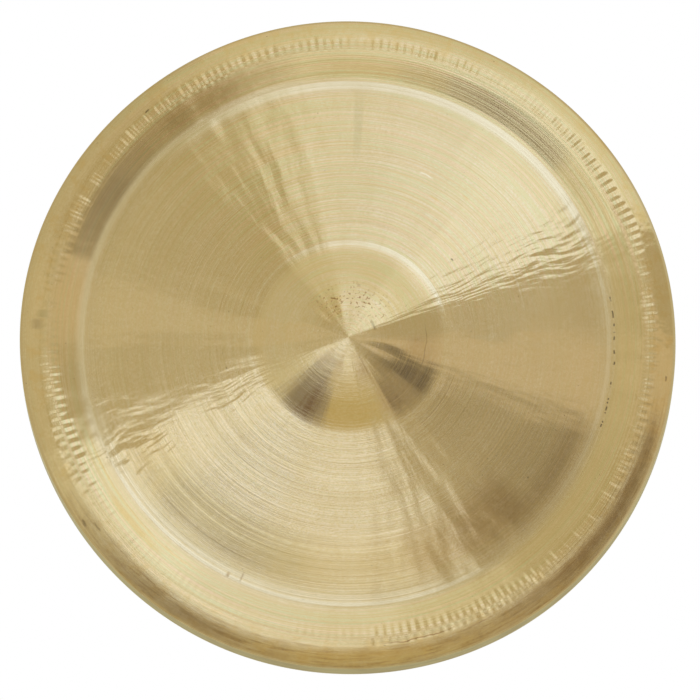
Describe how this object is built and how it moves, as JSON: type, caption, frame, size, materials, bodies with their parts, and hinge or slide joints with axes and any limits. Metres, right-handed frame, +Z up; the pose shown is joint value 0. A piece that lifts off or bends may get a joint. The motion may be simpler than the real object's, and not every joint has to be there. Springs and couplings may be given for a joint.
{
  "type": "gong",
  "caption": "Round hanging gong: thin turned brass plate with a raised centre cup, shallow cone, rounded hammered band and a turned-back rim with cord holes.",
  "frame": {"origin": "centre of the gong's box: on the gong's axis, halfway between the top of the cup and the open back edge", "axes": "+Z up as the gong hangs, -Y the way the struck face looks, +Y the way the rim is turned"},
  "size_m": [0.56, 0.051, 0.56],
  "materials": {
    "turned_brass": "pale gold, bare, fine concentric turning marks with brown traces of the hammering heat"
  },
  "bodies": {
    "root": {"gong_plate": "turned_brass"}
  },
  "joints": []
}
